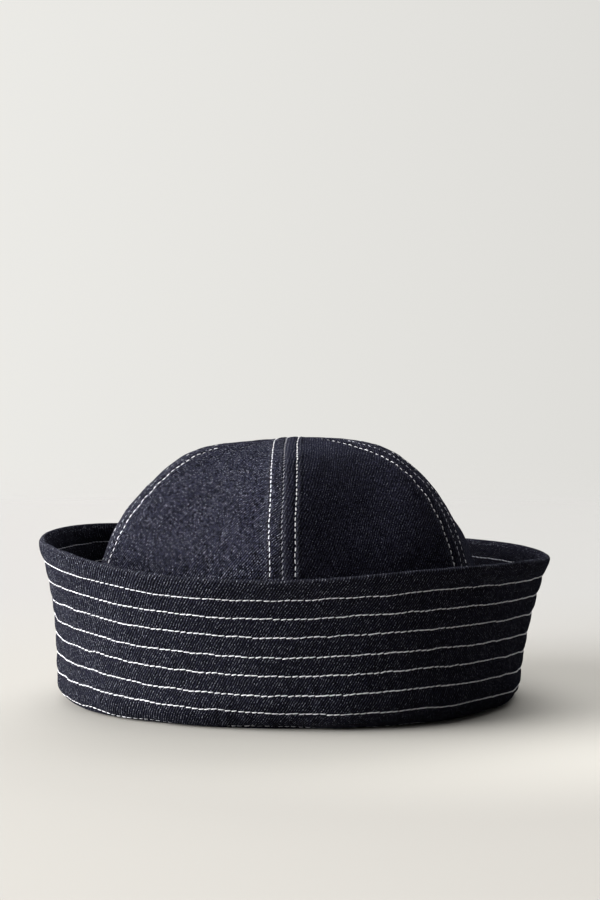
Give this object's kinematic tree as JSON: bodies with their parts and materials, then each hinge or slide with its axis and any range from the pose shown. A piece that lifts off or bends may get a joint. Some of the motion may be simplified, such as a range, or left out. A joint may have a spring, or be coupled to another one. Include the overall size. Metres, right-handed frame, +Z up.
{
  "type": "sailor cap",
  "caption": "Denim sailor cap with a rounded crown of sewn gores and a broad brim turned up all round, stitched in parallel rows.",
  "frame": {"origin": "middle of the cap's box, at the surface that its brim's fold stands on", "axes": "+Z up through the crown, -Y towards the front, +X towards the left of a wearer who faces the front"},
  "size_m": [0.225, 0.2246, 0.113],
  "materials": {
    "crown_denim": "raw indigo denim, matt, with white topstitching",
    "brim_denim": "raw indigo denim, matt, in layers quilted by rows of white stitching"
  },
  "bodies": {
    "root": {"crown_panel_1": "crown_denim", "crown_panel_2": "crown_denim", "crown_panel_3": "crown_denim", "crown_panel_4": "crown_denim", "crown_panel_5": "crown_denim", "crown_panel_6": "crown_denim", "brim": "brim_denim"}
  },
  "joints": []
}
